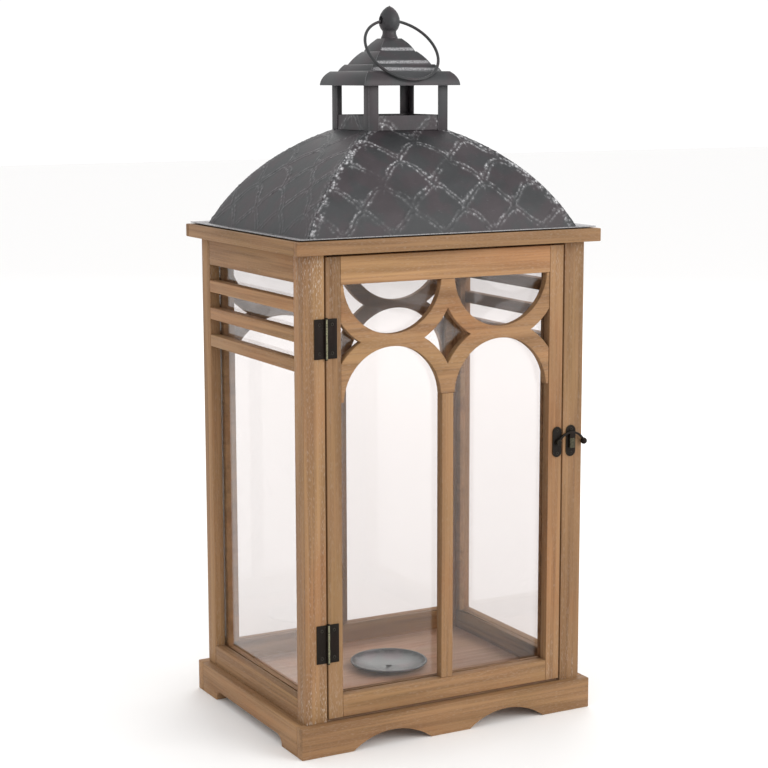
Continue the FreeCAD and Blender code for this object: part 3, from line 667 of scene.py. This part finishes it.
def paint_ledge_highlights(form, wear_and_highlight):
    """Painted highlight: a pale band along the foot of each tier of the cupola's front, in place of the
    shine on each upturned ledge.
    """
    reach = BAND_REACH * HIP_SHARE
    past_reach = (BAND_REACH + 1) / 2 * HIP_SHARE
    cut(form, (0, 0, 0), (1, reach, 0))
    cut(form, (0, 0, 0), (1, -reach, 0))
    for level in LEDGE_LEVELS:
        for rise in (0, BAND_EDGE, BAND_HEIGHT - BAND_EDGE, BAND_HEIGHT):
            cut(form, (0, 0, level + rise), (0, 0, 1))
    for vert in form.verts:
        rises = [vert.co.z - level for level in LEDGE_LEVELS]
        in_band = any(BAND_EDGE / 2 < rise < BAND_HEIGHT - BAND_EDGE / 2 for rise in rises)
        # Painted highlight, on the front face only
        if in_band and abs(vert.co.x) < -vert.co.y * past_reach:
            vert[wear_and_highlight] = BAND_HIGHLIGHT


def dress_metal():
    """Roof, ring, hinges, latch, screws and dish."""
    finishes = (
        (GUNMETAL, "roof_metal", ("cupola_roof", "finial", "roof_hood")),
        (GUNMETAL, "roof_metal", ("cupola_post_front_left", "cupola_post_front_right")),
        (GUNMETAL, "roof_metal", ("cupola_post_back_left", "cupola_post_back_right")),
        (WIRE, "ring_wire", ("ring_handle",)),
        (BRONZE, "dark_bronze", ("hinge_case_leaves", "hinge_door_leaves", "catch_plate")),
        (BRONZE, "dark_bronze", ("latch_plate", "latch_rivet", "latch_arm")),
        (BRASS, "worn_brass", ("hinge_pins",)),
        (STEEL, "steel", ("roof_tacks", "dish_screw")),
        (DISH_GREY, "grey_dish", ("candle_dish",)),
    )
    # Extra wear and painted highlights, set on the mesh of some nodes
    rubbed = {
        "roof_hood": rub_hood_rim,
        "hinge_case_leaves": paint_knuckle_highlight,
        "hinge_door_leaves": paint_knuckle_highlight,
        "cupola_roof": paint_ledge_highlights,
        "catch_plate": rub_and_highlight_tongue,
    }
    for material, slot, names in finishes:
        for name in names:
            eased(name, material, slot, METAL_EASE, 0, rubbed.get(name))
    for name in ("case_screws", "door_screws"):
        socketed(name)


def socketed(name):
    """Screws and tacks with a small round socket sunk in each head. Its rim is made paler: partly rubbing,
    partly a painted highlight on the chamfer.
    """
    form = merged_copy(name)
    wear_and_highlight = form.verts.layers.float.new("wear_and_highlight")
    crowns = [
        face
        for face in form.faces
        if face.normal.y < -FACING_FRONT and len(face.verts) > ROUND_SIDES
    ]
    # Pale rim on each head: rubbing and a painted highlight
    for crown in crowns:
        for vert in crown.verts:
            vert[wear_and_highlight] = 1.0
    bmesh.ops.inset_individual(form, faces=crowns, thickness=SOCKET_EDGE, use_even_offset=True)
    for crown in crowns:
        for vert in crown.verts:
            vert.co.y += SOCKET_DEPTH
            vert[wear_and_highlight] = 0.0
    finished(form, name + "_finish", BRASS, body_of(name), "worn_brass", name)


def dress_glass():
    """Panes standing a hair clear of the wood they rest on, so that light gets between the two."""
    for name in ("side_glass_left", "side_glass_right", "back_glass", "door_glass"):
        low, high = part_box(name)
        centre = (low + high) / 2
        form = merged_copy(name)
        for vert in form.verts:
            for axis in range(3):
                vert.co[axis] -= math.copysign(PANE_CLEARANCE, vert.co[axis] - centre[axis])
        finished(form, name + "_finish", GLASS, body_of(name), "glass", name)


# Embossed skin of the roof


def vault_curve(foot, top):
    """Points on the arc from the vault's foot to its top, as a function of the share of its length."""
    run = Vector((top[0] - foot[0], top[1] - foot[1]))
    sag = VAULT_BULGE * run.length
    radius = (run.length ** 2 / 4 + sag ** 2) / (2 * sag)
    outward = Vector((run.y, -run.x)).normalized()
    centre = Vector(foot) + run / 2 + outward * (sag - radius)
    start = Vector(foot) - centre
    half_turn = math.asin(run.length / 2 / radius)
    length = 2 * half_turn * radius

    def place(share):
        """Point at a share of the arc's length, and the way out from it."""
        spoke = Matrix.Rotation(2 * half_turn * share, 2) @ start
        return centre + spoke, spoke.normalized()

    return place, length


def scale_line(across, climb):
    """How far a spot lies from the nearest edge of a scale."""
    nearest = SCALE_WIDTH
    row = round((climb - FIRST_ROW) / SCALE_ROW)
    for number in (row - 1, row, row + 1, row + 2):
        offset = across - SCALE_SHIFT + ((number + 1) % 2) * SCALE_WIDTH / 2
        share = abs((offset / SCALE_WIDTH + 0.5) % 1 - 0.5) * 2
        side = math.sqrt(1 - min(share, STEEPEST) ** 2)
        drop = ROUNDNESS * (1 - side) + (1 - ROUNDNESS) * (1 - math.cos(math.pi * share)) / 2
        lean = ROUNDNESS * share / side + (1 - ROUNDNESS) * math.pi / 2 * math.sin(math.pi * share)
        slope = lean * SCALE_ROW / (SCALE_WIDTH / 2)
        crown = FIRST_ROW + number * SCALE_ROW
        distance = abs(climb - crown + drop * SCALE_ROW) / math.hypot(1, slope)
        nearest = min(nearest, distance)
    return nearest


def clamped(value):
    """Value kept between 0 and 1."""
    return max(0.0, min(1.0, value))


def embossing(across, climb, from_hip, seed, rubbing):
    """Height of the beaded double ridge at a spot, from 0 to 1, and how far its paint is rubbed off."""
    spot = Vector((across, climb, seed))
    waver = WAVER * noise.noise(spot * WAVER_RATE)
    sway = WAVER * noise.noise(spot * WAVER_RATE + Vector((9.2, 4.4, 0)))
    jitter = JITTER * noise.noise(spot * JITTER_RATE)
    distance = scale_line(across + waver + jitter, climb + sway - jitter)
    ridge = math.exp(-(((distance - RIDGE_SPREAD) / RIDGE_WIDTH) ** 2))
    hip = max(0.0, 1 - from_hip / HIP_BAND) ** 0.5
    dents = 0.07 * noise.noise(spot * DENT_RATE) + 0.05 * noise.noise(spot * DIP_RATE)
    if ridge < FAINTEST_RIDGE and hip == 0:
        return dents, 0.0
    bead = clamped(1.5 - 2.6 * noise.voronoi(spot * BEAD_CELLS)[0][0])
    patchy = clamped(0.72 + 1.1 * noise.noise(spot * PATCH_RATE + Vector((3.1, 7.7, 0))))
    broken = clamped(0.75 + 1.6 * noise.noise(spot * BREAK_RATE))
    lift = ridge * (0.30 + 0.70 * bead) * (0.45 + 0.55 * patchy) + 0.55 * hip * bead * broken
    fade = 0.35 + 0.65 * min(1.0, climb / FADE_CLIMB)
    rub = ridge * (0.18 + 1.1 * bead) * broken * patchy * fade + 0.95 * hip * bead * broken
    return min(1.0, lift) + dents, min(1.0, rub * rubbing)


def embossed_grid(form, length, height, spot_of, seed, rubbing):
    """Fine grid laid over one face of the roof. Each point of the grid is lifted by the embossing."""
    wear_and_highlight = form.verts.layers.float["wear_and_highlight"]
    grid = bmesh.ops.create_grid(
        form,
        x_segments=round(length / STEP_ACROSS),
        y_segments=round(height / STEP_UP),
        size=1,
    )
    for vert in grid["verts"]:
        place, outward, across, climb, from_hip = spot_of(vert.co.x, (vert.co.y + 1) / 2)
        lift, rub = embossing(across, climb, from_hip, seed, rubbing)
        vert[wear_and_highlight] = rub
        vert.co = place + outward * (SKIN_LIFT + RIDGE_HEIGHT * max(-0.1, lift))


def vault_levels():
    """Half width, half depth and height of the vault's foot and top, and the collar's top."""
    low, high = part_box("roof_hood")
    foot = (high.x - FLANGE_SIDE, high.y - FLANGE_FRONT, low.z)
    post_low, post_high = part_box("cupola_post_back_right")
    top = (post_high.x, post_high.y, post_low.z)
    return foot, top, high.z


def embossed_side(name, along_x, side, seed, rubbing):
    """Embossed sheet over one side of the vault and the part of the collar above it."""
    foot, top, collar_top = vault_levels()
    reach = 1 if along_x else 0
    width = 0 if along_x else 1
    curve, climb_length = vault_curve((foot[reach], foot[2]), (top[reach], top[2]))
    width_curve, _ = vault_curve((foot[width], foot[2]), (top[width], top[2]))
    form = bmesh.new()
    form.verts.layers.float.new("wear_and_highlight")

    def in_frame(across, out, height):
        """Vector in the lantern's own axes, from its parts along the side, out of it and up."""
        return Vector((across, side * out, height)) if along_x else Vector((side * out, across, height))

    def half_width(height):
        """Half the vault's width at a height, found by halving the range of shares that holds it."""
        low_share, high_share = 0.0, 1.0
        for _ in range(HALVINGS):
            middle = (low_share + high_share) / 2
            if width_curve(middle)[0].y < height:
                low_share = middle
            else:
                high_share = middle
        return width_curve(low_share)[0].x

    def on_vault(share_across, share_up):
        """Spot on the vault: its place, the way out, and where it lies in the embossing's pattern."""
        point, outward = curve(share_up)
        half = half_width(point.y)
        across = share_across * half
        from_hip = half - abs(across)
        place = in_frame(across, point.x, point.y)
        return place, in_frame(0, outward.x, outward.y), across, share_up * climb_length, from_hip

    def on_collar(share_across, share_up):
        """The same for a spot on the collar, which stands upright on the vault."""
        across = share_across * (top[width] - SHEET)
        height = top[2] + share_up * (collar_top - top[2])
        place = in_frame(across, top[reach] - SHEET, height)
        return place, in_frame(0, 1, 0), across, climb_length + height - top[2], HIP_BAND

    embossed_grid(form, 2 * foot[width], climb_length, on_vault, seed, rubbing)
    embossed_grid(form, 2 * top[width], collar_top - top[2], on_collar, seed, rubbing)
    outward = in_frame(0, 1, 1)
    bmesh.ops.recalc_face_normals(form, faces=form.faces)
    for faces in list(shells(form)):
        if sum(face.normal.dot(outward) for face in faces) < 0:
            bmesh.ops.reverse_faces(form, faces=faces)
    bmesh.ops.solidify(form, geom=form.faces[:], thickness=SKIN_THICKNESS)
    piece = finished(form, name, GUNMETAL, "case", "roof_metal")
    piece.data.set_sharp_from_angle(angle=math.pi)


def dress_roof():
    """Embossed sheets on the four sides. The left and right ones are rubbed less."""
    embossed_side("embossed_front", True, -1, 0.13, 1.0)
    embossed_side("embossed_back", True, 1, 0.57, 1.0)
    embossed_side("embossed_left", False, -1, 0.91, 0.4)
    embossed_side("embossed_right", False, 1, 0.29, 0.4)


# Stage, light and camera


def make_stage():
    """Plain pale floor."""
    form = bmesh.new()
    bmesh.ops.create_grid(form, x_segments=1, y_segments=1, size=FLOOR_REACH)
    mesh = bpy.data.meshes.new("floor")
    form.to_mesh(mesh)
    form.free()
    floor = bpy.data.objects.new("floor", mesh)
    material, _, shader = new_material("plain_floor")
    shader.inputs["Base Color"].default_value = (0.93, 0.925, 0.92, 1)
    shader.inputs["Roughness"].default_value = 0.9
    shader.inputs["Specular IOR Level"].default_value = 0.1
    mesh.materials.append(material)
    SCENE.collection.objects.link(floor)


def soft_light(name, place, power):
    """Square softbox that looks at the lantern's middle."""
    lamp = bpy.data.lights.new(name, "AREA")
    lamp.energy = power
    lamp.size = SOFTBOX_SIZE
    lamp.color = (1.0, 0.985, 0.965)
    holder = bpy.data.objects.new(name, lamp)
    holder.location = place
    aim = SOFTBOX_AIM - Vector(place)
    holder.rotation_mode = "QUATERNION"
    holder.rotation_quaternion = aim.to_track_quat("-Z", "Y")
    SCENE.collection.objects.link(holder)


def make_light():
    """White backdrop and two softboxes."""
    world = bpy.data.worlds.new("studio")
    world.use_nodes = True
    backdrop = world.node_tree.nodes["Background"]
    backdrop.inputs["Color"].default_value = (1.0, 0.998, 0.998, 1)
    backdrop.inputs["Strength"].default_value = BACKDROP_STRENGTH
    SCENE.world = world
    soft_light("front_softbox", FRONT_SOFTBOX, FRONT_POWER)
    soft_light("back_softbox", BACK_SOFTBOX, BACK_POWER)
    SCENE.view_settings.view_transform = "Standard"


def make_camera():
    """Camera at the photograph's place, and with its lens."""
    forward = Vector((
        math.sin(CAMERA_YAW) * math.cos(CAMERA_PITCH),
        math.cos(CAMERA_YAW) * math.cos(CAMERA_PITCH),
        -math.sin(CAMERA_PITCH),
    ))
    right = Vector((math.cos(CAMERA_YAW), -math.sin(CAMERA_YAW), 0))
    up = right.cross(forward)
    turn = Matrix.Rotation(-CAMERA_ROLL, 3, forward)
    right = turn @ right
    up = turn @ up
    camera = bpy.data.cameras.new("photo_camera")
    camera.sensor_width = SENSOR * 1000
    camera.lens = FOCAL_PIXELS / PHOTO_SIDE * SENSOR * 1000
    camera.clip_end = CAMERA_REACH
    holder = bpy.data.objects.new("photo_camera", camera)
    facing = Matrix((right, up, -forward)).transposed().to_4x4()
    holder.matrix_world = Matrix.Translation(CAMERA_PLACE) @ facing
    SCENE.collection.objects.link(holder)
    SCENE.camera = holder


dress_wood()
dress_metal()
dress_glass()
dress_roof()
make_stage()
make_light()
make_camera()
